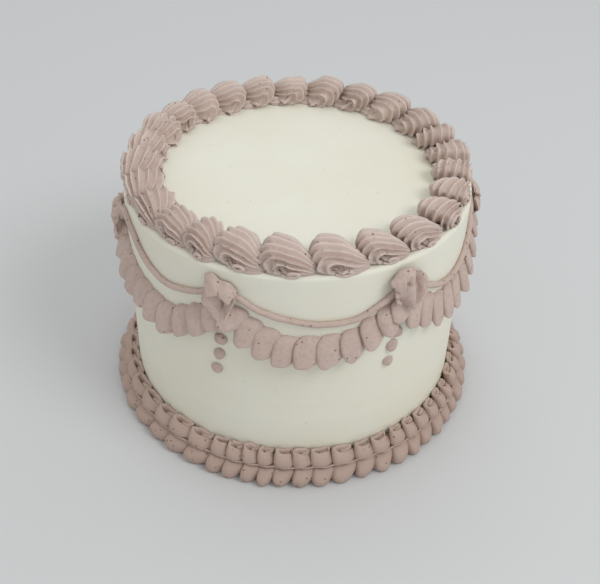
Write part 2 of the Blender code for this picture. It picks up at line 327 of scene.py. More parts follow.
def shell_fan(rng):
    """The ridged body: rows along the stroke, each from the outer side over the back to the inner side."""
    fold = np.array(SHELL_FOLD)
    fold[1:10, :6] += rng.normal(0, 0.22, (9, 6))
    fold[2:10, 6] *= 1 + rng.normal(0, 0.02, 8)
    line = through(fold, SHELL_POINTS)
    row = np.arange(SHELL_POINTS)
    half_width = line[:, 6:]
    ridge = np.append((np.arange(SHELL_RIDGES)[:, None] + np.array(RIDGE_POINTS)).reshape(-1), SHELL_RIDGES)
    share = 0.78 * (ridge / SHELL_RIDGES) + 0.22 * (ridge / SHELL_RIDGES) ** 2
    across = np.linspace(0, math.pi, ARCH_POINTS)
    widest = fold[6]
    arch = np.stack([widest[6] * np.cos(across), (widest[1] - 3.4) * np.sin(across) ** 0.7], axis=1)
    walked = np.concatenate([[0], np.cumsum(np.linalg.norm(np.diff(arch, axis=0), axis=1))])
    drift = 0.35 * np.sin(np.linspace(0, 2.4, SHELL_POINTS) + rng.uniform(-0.6, 0.6)) / SHELL_RIDGES
    slid = share[None, :] + drift[:, None] * np.sin(math.pi * share)[None, :]
    turn = np.interp(slid * walked[-1], walked, across)
    blunt = np.interp(row, (0, 8, 14, SHELL_POINTS), (0.95, 0.70, 0.46, 0.52))[:, None]
    full = np.clip(np.sin(turn), 0, 1) ** blunt
    blend = 0.5 - 0.5 * np.cos(turn)
    grid = np.zeros((SHELL_POINTS, len(share), 3))
    for column, (back, outer, inner) in ((0, (0, 2, 4)), (2, (1, 3, 5))):
        root = line[:, outer][:, None] * (1 - blend) + line[:, inner][:, None] * blend
        grid[..., column] = root + (line[:, back][:, None] - root) * full
    side = np.sign(np.cos(turn)) * np.abs(np.cos(turn)) ** 0.88
    tail_shift = np.interp(row, (0, 4, 9, 15), (4.6, 3.6, 1.2, 0.0))[:, None]
    grid[..., 1] = -half_width * side * (1 + 0.10 * blend) - tail_shift
    normal = grid_normals(grid)
    if normal[13, len(share) // 2, 2] < 0:
        normal = -normal
    step = np.linalg.norm(np.diff(grid, axis=1), axis=2).sum(axis=1) / SHELL_RIDGES
    wave = (np.abs(np.sin(math.pi * ridge)) ** 0.70)[None, :]
    uneven = 1 + 0.15 * np.interp(ridge, range(SHELL_RIDGES + 1), rng.normal(0, 1, SHELL_RIDGES + 1))
    outer_gap = np.linalg.norm((grid - grid[:, :1])[..., (0, 2)], axis=-1)
    inner_gap = np.linalg.norm((grid - grid[:, -1:])[..., (0, 2)], axis=-1)
    near_eye = np.clip(np.minimum(outer_gap, inner_gap) / 3.0, 0.25, 1.0)
    depth = np.minimum(SHELL_VALLEY, 0.66 * step)[:, None] * wave * uneven * near_eye
    grid -= normal * depth[..., None]
    eye = np.exp(-((turn / 0.30) ** 2)) * np.clip(half_width / 9.0, 0, 1)
    grid[..., 1] += 1.5 * eye
    inside = grid[:, [-1, 0]] * (1, 0.88, 1) + (0, 0, 0.25)
    # Painted highlight: full on each ridge crest, none in the valleys or on the two inside columns.
    crest = np.concatenate([np.repeat((1 - wave) ** 2, SHELL_POINTS, axis=0), np.zeros((SHELL_POINTS, 2))], axis=1)
    return np.concatenate([grid, inside], axis=1), crest


def shell_skirt(rng):
    """The icing that spreads under the tail."""
    rows = through(SHELL_SKIRT, SKIRT_ROWS)
    along, height, half_width = rows[:, :1], rows[:, 1:2], rows[:, 2:]
    turn = np.linspace(0, 2 * math.pi, SKIRT_ROUND, endpoint=False)
    wave = np.abs(np.sin(turn * 5.5 + np.linspace(0, 1.4, SKIRT_ROWS)[:, None]))
    rings = np.zeros((SKIRT_ROWS, SKIRT_ROUND, 3))
    rings[..., 0] = along + 0.6 * np.cos(turn)
    rings[..., 1] = half_width * np.cos(turn) * (1 - 0.10 * wave) + rng.uniform(-0.3, 0.3)
    rings[..., 2] = 0.3 + height * np.maximum(np.sin(turn), -0.15) * (1 - 0.30 * wave)
    # Painted highlight on the skirt's ridge crests.
    return rings, (1 - wave) ** 2


def shell_eye(rng):
    """The small curl at the start of the stroke, low on the outer side."""
    turn = np.linspace(math.radians(190), math.radians(600), EYE_POINTS)
    reach = np.linspace(3.4, 0.5, EYE_POINTS)
    curl = [1.2 + reach * np.cos(turn), -8.5 + 0.25 * reach, 1.7 + 0.52 * reach * np.sin(turn)]
    centre = np.stack(curl, axis=1) + rng.normal(0, 0.1, 3)
    onward = unit(np.gradient(centre, axis=0))
    outward = unit(np.cross(onward, np.array([0.0, 1.0, 0.0])))
    third = np.cross(onward, outward)
    phi = np.linspace(0, 2 * math.pi, EYE_ROUND, endpoint=False)[None, :, None]
    thick = np.interp(np.arange(EYE_POINTS), (0, 5, 24, 29), (0.35, 0.85, 0.75, 0.3))[:, None, None]
    rings = centre[:, None, :] + thick * (np.cos(phi) * outward[:, None, :] + np.sin(phi) * third[:, None, :])
    # Painted highlight over the whole eye, at 0.35 strength.
    return rings, np.full((EYE_POINTS, EYE_ROUND), 0.35)


def shell(name, seed):
    rng = np.random.default_rng(seed)
    bodies, painted_highlights = zip(shell_fan(rng), shell_skirt(rng), shell_eye(rng))
    return piped_piece(name, bodies, painted_highlights)


def piping_tree(name, own_input, own_kind):
    """A new tree with one input of its own and those that all the piping has."""
    tree = bpy.data.node_groups.new(name, "GeometryNodeTree")
    sockets = (
        ("Geometry", "Geometry"), (own_input, own_kind), ("Bend radius", "Float"), ("Wobble", "Float"),
        ("Wobble scale", "Float"), ("Seed", "Float"), ("Icing", "Material"),
    )
    for label, kind in sockets:
        tree.interface.new_socket(label, in_out="INPUT", socket_type="NodeSocket" + kind)
    tree.interface.new_socket("Geometry", in_out="OUTPUT", socket_type="NodeSocketGeometry")
    return tree


def maths(tree, operation, *values):
    return node(tree, "ShaderNodeMath", dict(enumerate(values)), operation=operation).outputs[0]


def bend_round(tree, straight, given):
    """Bends a straight run of piping round the cake, lets it wobble a little and ices it."""
    place = node(tree, "GeometryNodeInputPosition").outputs[0]
    along, inward, up = node(tree, "ShaderNodeSeparateXYZ", {0: place}).outputs
    angle = maths(tree, "DIVIDE", along, given["Bend radius"])
    reach = maths(tree, "SUBTRACT", given["Bend radius"], inward)
    east = maths(tree, "MULTIPLY", reach, maths(tree, "SINE", angle))
    south = maths(tree, "MULTIPLY", reach, maths(tree, "COSINE", angle))
    north = maths(tree, "MULTIPLY", south, -1.0)
    round_it = node(tree, "ShaderNodeCombineXYZ", {0: east, 1: north, 2: up}).outputs[0]
    bent = node(tree, "GeometryNodeSetPosition", {"Geometry": straight, "Position": round_it}).outputs[0]
    noise = {"W": given["Seed"], "Scale": given["Wobble scale"], "Detail": 1.0}
    drift = node(tree, "ShaderNodeTexNoise", noise, noise_dimensions="4D").outputs["Color"]
    half = (0.5, 0.5, 0.5)
    centred = node(tree, "ShaderNodeVectorMath", {0: drift, 1: half}, operation="SUBTRACT").outputs[0]
    wobble = {0: centred, "Scale": given["Wobble"]}
    moved = node(tree, "ShaderNodeVectorMath", wobble, operation="SCALE").outputs[0]
    shaken = node(tree, "GeometryNodeSetPosition", {"Geometry": bent, "Offset": moved}).outputs[0]
    return node(tree, "GeometryNodeSetMaterial", {"Geometry": shaken, "Material": given["Icing"]}).outputs[0]


def setting_out_tree():
    """Sets pieces out along a straight line, a piece at each point, before the line is bent."""
    tree = piping_tree("Piped round the cake", "Pieces", "Collection")
    given = node(tree, "NodeGroupInput").outputs
    stock = {"Collection": given["Pieces"], "Separate Children": True, "Reset Children": True}
    pieces = node(tree, "GeometryNodeCollectionInfo", stock)
    pick = node(tree, "GeometryNodeInputNamedAttribute", {"Name": "pick"}, data_type="INT")
    turn = node(tree, "GeometryNodeInputNamedAttribute", {"Name": "turn"}, data_type="FLOAT_VECTOR")
    size = node(tree, "GeometryNodeInputNamedAttribute", {"Name": "size"}, data_type="FLOAT_VECTOR")
    placed = node(
        tree,
        "GeometryNodeInstanceOnPoints",
        {
            "Points": given["Geometry"],
            "Instance": pieces.outputs[0],
            "Pick Instance": True,
            "Instance Index": pick.outputs[0],
            "Rotation": turn.outputs[0],
            "Scale": size.outputs[0],
        },
    )
    real = node(tree, "GeometryNodeRealizeInstances", {"Geometry": placed.outputs[0]}).outputs[0]
    tree.links.new(bend_round(tree, real, given), node(tree, "NodeGroupOutput").inputs[0])
    return tree


setting_out = setting_out_tree()


def baked(name, start, tree, inputs):
    """The plain mesh that the tree makes of the start object, which is then removed."""
    modifier = start.modifiers.new("Piping", "NODES")
    modifier.node_group = tree
    for socket in tree.interface.items_tree:
        if socket.in_out == "INPUT" and socket.name in inputs:
            modifier[socket.identifier] = inputs[socket.name]
    bpy.context.view_layer.update()
    evaluated = start.evaluated_get(bpy.context.evaluated_depsgraph_get())
    mesh = bpy.data.meshes.new_from_object(evaluated)
    start.modifiers.clear()
    bpy.data.objects.remove(start, do_unlink=True)
    mesh.name = name
    mesh.shade_smooth()
    made = bpy.data.objects.new(name, mesh)
    bpy.context.scene.collection.objects.link(made)
    return made


def set_out(name, places, pieces, radius, wobble, wobble_scale, seed):
    """places: rows of along, out, up in metres, piece number, three turns and three sizes."""
    places = np.asarray(places, float)
    start = bpy.data.objects.new(name + "_line", bpy.data.meshes.new(name + "_line"))
    start.data.from_pydata((places[:, :3] * (1, -1, 1)).tolist(), [], [])
    bpy.context.scene.collection.objects.link(start)
    pick = start.data.attributes.new("pick", "INT", "POINT")
    pick.data.foreach_set("value", places[:, 3].astype(int))
    for label, columns in (("turn", slice(4, 7)), ("size", slice(7, 10))):
        layer = start.data.attributes.new(label, "FLOAT_VECTOR", "POINT")
        layer.data.foreach_set("vector", places[:, columns].reshape(-1))
    stock = bpy.data.collections.new(name + "_pieces")
    for piece in pieces:
        for holder in list(piece.users_collection):
            holder.objects.unlink(piece)
        stock.objects.link(piece)
    inputs = {
        "Pieces": stock,
        "Bend radius": radius,
        "Wobble": wobble,
        "Wobble scale": wobble_scale,
        "Seed": seed,
        "Icing": mauve,
    }
    made = baked(name, start, setting_out, inputs)
    for piece in pieces:
        bpy.data.objects.remove(piece, do_unlink=True)
    bpy.data.collections.remove(stock)
    return made


shells = [shell(f"shell_{number:02d}", 20 + number) for number in range(SHELL_KINDS)]
shell_rng = np.random.default_rng(5)
shell_places = []
for number, start_angle in enumerate(SHELL_ANGLES):
    after = SHELL_ANGLES[(number + 1) % len(SHELL_ANGLES)]
    span = math.radians((after - start_angle) % 360.0) * SHELL_RING_RADIUS
    middle = math.radians(start_angle + SHELL_SHIFT) * SHELL_RING_RADIUS + 0.5 * span
    stretch = span / (SHELL_LENGTH * MM)
    bulk = 0.98 + 0.05 * shell_rng.uniform(-1, 1)
    turns = [most * shell_rng.uniform(-1, 1) for most in (0.06, 0.05, 0.10)]
    kind = number * 5 % SHELL_KINDS
    shell_places.append((middle, 0.0, CAKE_HEIGHT - SHELL_SINK, kind, *turns, stretch, bulk, bulk))
border = set_out("shell_border", shell_places, shells, SHELL_RING_RADIUS, 0.0012, 90.0, 2.0)
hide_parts("top_border")
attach(border, "root")

# The string swags: thin round strings from a plain nozzle, let to sag from bow to bow.
# Each touches the wall along its length and ends under the bows.
STRING_RADIUS = 0.00135
STRING_PRESS = 0.0002
STRING_POINTS, STRING_ROUND = 70, 14
# Angle from the front and height in mm along each string; the first two show in front
STRINGS = (
    (
        (-20.5, 106), (-14.6, 102.8), (-12.2, 100.5), (-9.6, 98.7), (-7.2, 97.6), (-4.6, 96.3), (0.4, 94.7),
        (3.9, 93.5), (7.4, 92.7), (11.2, 92.6), (15.7, 92.7), (18.2, 93.1), (21, 94.2), (23.7, 96.1), (26.3, 98),
        (28.8, 100.1), (31.5, 102.2), (34, 104.6),
    ),
    (
        (37, 105), (41, 101.5), (43.7, 98.3), (46.2, 96.9), (50.1, 93.7), (53.8, 92.1), (57.9, 90.8), (63, 91),
        (70, 93), (78, 97.4), (86, 102.6), (92, 106),
    ),
    ((94, 106.5), (102, 101.5), (112, 96.8), (124, 95.0), (136, 97.4), (147, 102.5), (154, 106)),
    ((156, 106), (164, 101), (175, 96.2), (187, 94.8), (198, 97.2), (208, 102), (216, 106.5)),
    ((218, 106.5), (226, 101.2), (237, 96.2), (249, 94.4), (261, 96.8), (272, 102.2), (280, 106)),
    (
        (281.5, 103.8), (284.2, 106), (287, 108.6), (290.6, 110.8), (295, 109.5), (299.8, 106.6), (302.5, 103.6),
        (306.3, 100.4), (310.3, 98.2), (315.4, 96.2), (320, 96.2), (324.2, 97.7), (327.4, 99), (330, 100.2),
        (332.5, 101.8), (336, 104),
    ),
)


def string_tree():
    tree = piping_tree("String let to hang", "String radius", "Float")
    given = node(tree, "NodeGroupInput").outputs
    path = node(tree, "GeometryNodeMeshToCurve", {0: given["Geometry"]}).outputs[0]
    ring = {"Resolution": STRING_ROUND, "Radius": given["String radius"]}
    nozzle = node(tree, "GeometryNodeCurvePrimitiveCircle", ring).outputs[0]
    swept = {"Curve": path, "Profile Curve": nozzle, "Fill Caps": True}
    tube = node(tree, "GeometryNodeCurveToMesh", swept).outputs[0]
    real = node(tree, "GeometryNodeRealizeInstances", {"Geometry": tube}).outputs[0]
    tree.links.new(bend_round(tree, real, given), node(tree, "NodeGroupOutput").inputs[0])
    return tree


def string_paths():
    points, edges = [], []
    for keys in STRINGS:
        line = through(keys, STRING_POINTS)
        first = len(points)
        for angle, height in line:
            points.append((math.radians(angle) * CAKE_RADIUS, -(STRING_RADIUS - STRING_PRESS), height * MM))
        edges += [(first + i, first + i + 1) for i in range(len(line) - 1)]
    mesh = bpy.data.meshes.new("string_paths")
    mesh.from_pydata(points, edges, [])
    made = bpy.data.objects.new("string_paths", mesh)
    bpy.context.scene.collection.objects.link(made)
    return made


strings = baked(
    "string_swags",
    string_paths(),
    string_tree(),
    {
        "String radius": STRING_RADIUS,
        "Bend radius": CAKE_RADIUS,
        "Wobble": 0.0004,
        "Wobble scale": 120.0,
        "Seed": 4.0,
        "Icing": mauve,
    },
)
face_outwards(strings.data)
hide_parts(*[f"string_{n}" for n in range(1, 7)])
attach(strings, "root")

# The ruffled garlands: a ribbon of buttercream from a petal nozzle, held against the wall with its
# thick edge in and jogged back and forth, so that each fold stands out at its left, laps over the one
# before it and runs back under the next.
FOLD_PITCH = 9.1
FOLD_KINDS = 7
FOLD_ROWS, FOLD_POINTS = 16, 34
# One fold seen from below in mm: along, out and how far down its edge hangs, from the wall behind its
# nose round the nose and over the face to where the next fold covers it
FOLD_EDGE = (
    (-2.2, -0.3, 10.5), (-3.6, 1.3, 11.6), (-4.5, 3.1, 12.8), (-5.1, 4.9, 13.8), (-4.3, 6.4, 14.6),
    (-2.0, 6.9, 15.1), (0.6, 6.5, 14.9), (3.0, 5.3, 14.3), (5.2, 3.9, 13.6), (7.2, 2.6, 13.0), (8.0, 1.2, 12.6),
    (8.0, -0.3, 12.0),
)
# Its growth from the top down: share of the drop, width, depth
FOLD_GROWTH = (
    (0.00, 0.30, 0.06), (0.03, 0.52, 0.24), (0.10, 0.76, 0.42), (0.22, 0.93, 0.58), (0.40, 1.02, 0.72),
    (0.62, 1.04, 0.85), (0.84, 1.02, 0.96), (0.96, 0.99, 1.00), (1.00, 0.95, 0.97),
)
# How the edge is tucked in underneath: share of its width, and lift in mm
FOLD_UNDERSIDE = ((0.90, 0.1), (0.80, 1.2), (0.66, 2.6), (0.50, 3.2))


def garland_fold(name, seed):
    rng = np.random.default_rng(seed)
    edge = np.array(FOLD_EDGE)
    edge[1:-1] += rng.normal(0, 0.16, (10, 3)) * (1.0, 1.0, 2.0)
    edge[5:7, 2] += rng.uniform(-0.5, 0.6)
    edge = through(edge, FOLD_POINTS)
    rows = []
    for share, width, depth in through(FOLD_GROWTH, FOLD_ROWS):
        along = 0.8 + (edge[:, 0] - 0.8) * width
        out = np.where(edge[:, 1] > 0, edge[:, 1] * depth, edge[:, 1])
        rows.append(np.stack([along, -out, -edge[:, 2] * share], axis=1))
    rim, middle = rows[-1], rows[-1].mean(axis=0)
    for shrink, lift in FOLD_UNDERSIDE:
        rows.append(middle + (rim - middle) * shrink + (0, 0, lift))
    return piped_piece(name, [np.array(rows)])


# Angle and top height in mm of each fold, left to right, in each garland
GARLANDS = (
    (
        (-18.4, 98.7), (-12.7, 94.0), (-7.6, 89.7), (-1.9, 86.2), (4.4, 85.9), (10.6, 86.0), (16.7, 87.3),
        (22.2, 91.4), (27.5, 95.2),
    ),
    (
        (33.4, 98.9), (39.7, 95.0), (44.9, 92.0), (50.6, 88.4), (56.2, 87.3), (62.5, 86.7), (69.0, 87.8),
        (75.2, 90.6), (81.0, 94.2), (87.0, 98.0),
    ),
    (
        (93.0, 99.0), (99.2, 95.4), (105.0, 91.4), (111.3, 88.2), (117.4, 86.4), (123.9, 86.0), (130.0, 86.9),
        (136.4, 89.6), (142.4, 93.6), (148.6, 97.8),
    ),
    (
        (155.0, 99.0), (161.1, 95.0), (167.4, 91.2), (173.2, 87.9), (179.6, 86.2), (185.8, 86.2), (192.1, 87.2),
        (198.2, 90.0), (204.6, 94.2), (210.7, 98.2),
    ),
    (
        (217.2, 99.2), (223.6, 95.2), (229.8, 91.0), (236.3, 87.8), (242.6, 86.3), (249.2, 85.9), (255.4, 87.1),
        (261.8, 90.3), (268.2, 94.4), (274.4, 98.2),
    ),
    (
        (281.0, 99.0), (287.4, 94.8), (293.6, 91.0), (299.6, 88.4), (305.6, 87.2), (312.0, 85.9), (318.0, 85.4),
        (323.7, 88.6), (329.4, 93.0), (335.4, 97.0),
    ),
)


def garland_places():
    rng = np.random.default_rng(8)
    folds = np.array([fold for garland in GARLANDS for fold in garland])
    before, after = np.roll(folds, 1, axis=0), np.roll(folds, -1, axis=0)
    gap = ((after[:, 0] - before[:, 0]) % 360.0) / 2
    slope = np.arctan2((after[:, 1] - before[:, 1]) / 2, np.radians(gap) * CAKE_RADIUS / MM)
    rows = []
    for number, (angle, height) in enumerate(folds):
        along = math.radians(angle) * CAKE_RADIUS
        width = math.radians(gap[number]) * CAKE_RADIUS / (FOLD_PITCH * MM) * rng.uniform(0.98, 1.04)
        drop = np.interp(height, (85, 93, 95.5, 99), (0.93, 0.90, 0.84, 0.66)) * rng.uniform(0.97, 1.03)
        lean = -(0.30 if slope[number] < 0 else 0.62) * slope[number] + rng.uniform(-0.05, 0.05)
        deep = rng.uniform(0.94, 1.04)
        rows.append((along, 0.0, height * MM, number % FOLD_KINDS, 0.0, lean, 0.0, width, deep, drop))
    return rows


garland_folds = [garland_fold(f"fold_{number:02d}", 60 + number) for number in range(FOLD_KINDS)]
garlands = set_out("ruffled_garlands", garland_places(), garland_folds, CAKE_RADIUS, 0.0010, 110.0, 7.0)
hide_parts(*[f"garland_{n}" for n in range(1, 7)])
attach(garlands, "root")

# The bows: short strokes of the petal nozzle laid over each other where the swags meet, with the
# ribbon folded left and right and drawn to a point at the bottom.
BOW_HEIGHT = 0.1020
# Angle from the front of each bow, its kind, how far it sits below the others in metres, and its height
# against theirs
BOWS = (
    (-21.7, 0, 0.0, 1.0), (33.6, 1, 0.0, 1.0), (93.0, 2, 0.0, 1.0), (155.0, 3, 0.0, 1.0), (217.0, 0, 0.0, 1.0),
    (281.0, 2, 0.0020, 0.84),
)
RIBBON_HALF = 0.66
BOW_ACROSS, BOW_DOWN = 60, 22
# Each flap is a net of points in mm, from its top edge to its bottom edge: along, out, and up from the
# bow's middle
POINTED_BOW = (
    (
        ((-6.7, 1.0, 9.5), (-2.8, 1.2, 10.6), (0.3, 1.5, 8.7), (4.7, 1.5, 8.1), (7.9, 1.5, 4.3)),
        ((-5.9, 2.6, 7.9), (-2.4, 3.0, 8.8), (0.7, 3.2, 7.0), (4.6, 3.2, 6.6), (7.6, 3.4, 4.4)),
        ((-4.8, 4.6, 5.5), (-1.6, 4.6, 6.4), (1.0, 4.7, 5.4), (4.2, 4.7, 5.2), (7.0, 5.2, 4.2)),
        ((-3.5, 6.5, 2.9), (-0.7, 5.8, 4.0), (1.1, 5.2, 4.2), (3.8, 5.8, 3.0), (6.2, 7.0, 2.4)),
    ),
    (
        ((-5.2, 3.0, 4.4), (-2.2, 3.0, 5.4), (1.6, 2.0, 5.2), (5.0, 3.0, 5.4), (7.4, 3.2, 5.6)),
        ((-6.2, 5.5, -0.7), (-2.6, 4.9, -0.4), (1.6, 2.8, 0.6), (4.8, 4.0, 0.8), (8.1, 5.2, 2.7)),
        ((-3.4, 5.8, -4.2), (-1.0, 5.0, -3.8), (1.6, 2.8, -4.2), (4.4, 4.0, -2.6), (7.3, 6.0, 0.6)),
        ((-0.9, 5.8, -6.4), (0.9, 5.6, -10.0), (2.4, 5.4, -13.8), (3.6, 5.2, -10.4), (5.2, 5.8, -5.0)),
    ),
)
ROUNDED_BOW = (
    (
        ((-4.6, 2.0, 9.6), (-1.8, 2.6, 12.2), (1.2, 4.0, 12.9), (6.4, 3.6, 9.8), (10.4, 3.0, 6.2)),
        ((-7.4, 3.8, 8.8), (-4.4, 5.2, 9.6), (0.7, 6.6, 11.6), (6.0, 4.8, 8.4), (10.8, 4.6, 4.9)),
        ((-7.0, 5.0, 6.8), (-4.4, 6.2, 7.4), (0.9, 7.4, 9.0), (5.6, 5.0, 5.9), (9.8, 5.4, 3.2)),
        ((-5.8, 5.6, 5.2), (-3.6, 6.4, 4.9), (0.9, 7.4, 7.2), (5.2, 4.8, 3.7), (8.5, 5.8, 1.8)),
    ),
    (
        ((-4.8, 3.4, 5.0), (-2.4, 4.6, 6.0), (1.0, 6.6, 7.2), (6.0, 4.2, 3.2), (9.8, 3.8, 1.0)),
        ((-5.5, 4.8, 2.4), (-3.6, 6.2, 2.6), (1.3, 7.6, 3.6), (6.6, 5.2, 0.4), (10.8, 5.4, -1.6)),
        ((-5.3, 5.6, -0.6), (-3.6, 6.6, -0.2), (1.7, 7.8, -0.6), (6.6, 5.4, -2.6), (9.9, 6.0, -3.6)),
        ((-4.2, 6.0, -1.9), (-1.6, 6.6, -3.2), (3.3, 7.4, -6.5), (5.0, 5.6, -6.0), (7.0, 6.0, -6.5)),
    ),
)
# Creases in each flap: place across it, width, depth in mm at its top edge and at its bottom edge, and
# how late the depth changes on the way down
POINTED_CREASES = (
    ((0.50, 0.05, 0.0, 2.4, 4.0),),
    ((0.50, 0.06, 1.4, 3.0, 1.0), (0.65, 0.12, 0.0, 1.2, 0.7)),
)
ROUNDED_CREASES = (
    ((0.41, 0.06, 0.0, 3.0, 2.0), (0.73, 0.17, 0.2, 4.4, 0.8)),
    ((0.29, 0.13, 0.0, 4.0, 1.2), (0.72, 0.15, 1.6, 4.0, 0.8)),
)


def thick_sheet(grid, half):
    """Rings round a sheet given as a grid of points, with rounded edges on its first and last columns."""
    half = np.broadcast_to(np.asarray(half, float), grid.shape[:2])[..., None]
    off = grid_normals(grid) * half
    past = unit(np.gradient(grid, axis=1)) * half
    top, low = [], []
    for reach, lean in ((0.55, 0.80), (0.85, 0.0), (0.55, -0.80)):
        top.append(grid[:, 0] - past[:, 0] * reach + off[:, 0] * lean)
        low.append(grid[:, -1] + past[:, -1] * reach + off[:, -1] * lean)
    front, back = grid + off, (grid - off)[:, ::-1]
    rings = np.concatenate([front, np.stack(low, axis=1), back, np.stack(top[::-1], axis=1)], axis=1)
    ends = []
    for end, next_in in ((0, 1), (-1, -2)):
        onward = rings[end] + (rings[end] - rings[next_in]) * 0.3
        ends.append((onward * 0.7 + grid[end].mean(axis=0) * 0.3)[None])
    return np.concatenate([ends[0], rings, ends[1]], axis=0)


def bow(name, flaps, creases, looseness, seed):
    rng = np.random.default_rng(seed)
    parts = []
    across, down = np.linspace(0, 1, BOW_ACROSS)[:, None], np.linspace(0, 1, BOW_DOWN)[None, :]
    for net, folds in zip(flaps, creases):
        net = np.array(net) * (1, -1, 1) + rng.normal(0, looseness, (4, 5, 3))
        fine = through(np.swapaxes(through(net, BOW_DOWN), 0, 1), BOW_ACROSS)
        for where, width, at_top, at_bottom, late in folds:
            depth = at_top + (at_bottom - at_top) * down**late
            fine[..., 1] += np.exp(-(((across - where) / width) ** 4)) * depth
        edge = np.minimum(1.0, 0.62 + 1.9 * np.minimum(across, 1 - across))
        parts.append(thick_sheet(fine, RIBBON_HALF * np.repeat(edge, BOW_DOWN, axis=1)))
    # Painted highlight at half strength along each flap's lower edge and its rounding.
    light = np.zeros(parts[0].shape[:2])
    light[:, BOW_DOWN - 1:BOW_DOWN + 3] = 0.5
    return piped_piece(name, parts, [light] * len(parts))


bows = [
    bow("bow_00", POINTED_BOW, POINTED_CREASES, 0.10, 1),
    bow("bow_01", ROUNDED_BOW, ROUNDED_CREASES, 0.10, 2),
    bow("bow_02", POINTED_BOW, POINTED_CREASES, 0.55, 3),
    bow("bow_03", ROUNDED_BOW, ROUNDED_CREASES, 0.55, 4),
]
bow_places = [
    (math.radians(angle) * CAKE_RADIUS, 0.0, BOW_HEIGHT - lower, kind, 0, 0, 0, 1.0, 1.0, tall)
    for angle, kind, lower, tall in BOWS
]
knots = set_out("piped_bows", bow_places, bows, CAKE_RADIUS, 0.0006, 120.0, 11.0)
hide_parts(*[f"bow_{n}" for n in range(1, 7)])
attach(knots, "root")

# The dots: three drops from a plain nozzle under each bow, the largest at the top.
# Each is pressed against the wall and leaves a small tail where the nozzle was pulled away.
DOT_KINDS = 5
DOT_ROWS, DOT_ROUND = 14, 28
DOT_RADII = (3.0, 2.85, 2.68)
# Share of the radius and lift from the wall, from the wall to the tip
DOT_PROFILE = (
    (0.86, -0.15), (1.0, 0.16), (0.94, 0.46), (0.70, 0.76), (0.38, 0.92), (0.12, 0.99), (0.02, 1.06),
)
# Angle and height in mm of each dot, from the top down
DOTS = (
    ((-22.1, 77.8), (-22.8, 68.8), (-23.8, 59.8)),
    ((33.9, 78.8), (32.8, 71.3), (32.0, 62.3)),
    ((92.6, 80.0), (92.4, 71.4), (92.9, 62.8)),
    ((155.2, 79.6), (155.6, 70.8), (155.2, 62.2)),
    ((217.0, 80.4), (216.6, 71.8), (216.9, 62.8)),
    ((281.0, 80.0), (281.3, 71.2), (281.0, 62.6)),
)


def dot(name, seed):
    rng = np.random.default_rng(seed)
    profile = through(DOT_PROFILE, DOT_ROWS)
    reach, lift = profile[:, :1], profile[:, 1:]
    turn = np.linspace(0, 2 * math.pi, DOT_ROUND, endpoint=False)
    squash = 1 + 0.05 * np.sin(2 * turn + rng.uniform(0, 6)) + 0.03 * np.sin(3 * turn + rng.uniform(0, 6))
    rings = np.zeros((DOT_ROWS, DOT_ROUND, 3))
    rings[..., 0] = reach * np.sin(turn) * squash + rng.uniform(-0.3, 0.3) * lift**4
    rings[..., 2] = reach * np.cos(turn) * squash - rng.uniform(0.0, 0.3) * lift**4
    rings[..., 1] = -lift * (0.95 + 0.06 * np.sin(turn * 2 + 1))
    return piped_piece(name, [rings])


dot_rng = np.random.default_rng(12)
dot_places = []
for number, column in enumerate(DOTS):
    for place_down, (angle, height) in enumerate(column):
        along = math.radians(angle) * CAKE_RADIUS
        size = DOT_RADII[place_down] * dot_rng.uniform(0.96, 1.04)
        lean = dot_rng.uniform(-0.6, 0.6)
        kind = (number + 2 * place_down) % DOT_KINDS
        dot_places.append((along, 0.0, height * MM, kind, 0, lean, 0, size, 0.9 * size, size * 1.04))
drops = [dot(f"dot_{n:02d}", 80 + n) for n in range(DOT_KINDS)]
dots = set_out("piped_dots", dot_places, drops, CAKE_RADIUS, 0.0005, 200.0, 15.0)
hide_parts(*[f"dot_{n}_{k}" for n in range(1, 7) for k in range(1, 4)])
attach(dots, "root")

# The foot border: a double ruffle from a two-leaved nozzle, run round the foot of the wall.
# The upper leaf folds up against the wall, the lower leaf splays out under it, and the bridge
# between the nozzle's leaves shows as a thin raised seam.
FOOT_PITCH = 9.6
FOOT_LIFT = 0.0003
LEAF_KINDS = 6
FOOT_POINTS, LEAF_ROWS = 38, 7
# The folds of each leaf in mm, from the end tucked inside the fold, round the bulb against the wall,
# back round the nose and along the face: along, out and up at the top edge, then at the lower edge
UPPER_LEAF = (
    (-1.2, 2.6, 13.9, -2.5, 4.2, 10.2), (0.6, 2.5, 14.1, -0.5, 4.0, 10.2), (2.2, 2.1, 14.3, 1.5, 3.6, 10.2),
    (3.2, 1.4, 14.4, 2.4, 3.0, 10.2), (2.8, 0.8, 14.4, 1.8, 2.4, 10.2), (0.8, 0.7, 14.5, 0.0, 2.2, 10.2),
    (-1.6, 0.9, 14.9, -2.0, 2.5, 10.2), (-3.6, 1.6, 15.6, -3.4, 3.2, 10.2), (-4.7, 2.9, 15.9, -4.5, 4.8, 10.2),
    (-4.0, 4.4, 15.6, -4.2, 6.4, 10.2), (-1.8, 4.7, 14.8, -2.0, 7.0, 10.1), (0.9, 4.0, 13.7, 1.2, 6.2, 10.1),
    (3.1, 2.9, 12.6, 3.8, 4.4, 10.1), (5.0, 1.7, 11.6, 5.8, 2.7, 10.1), (6.8, 0.8, 10.9, 7.2, 1.8, 10.1),
)
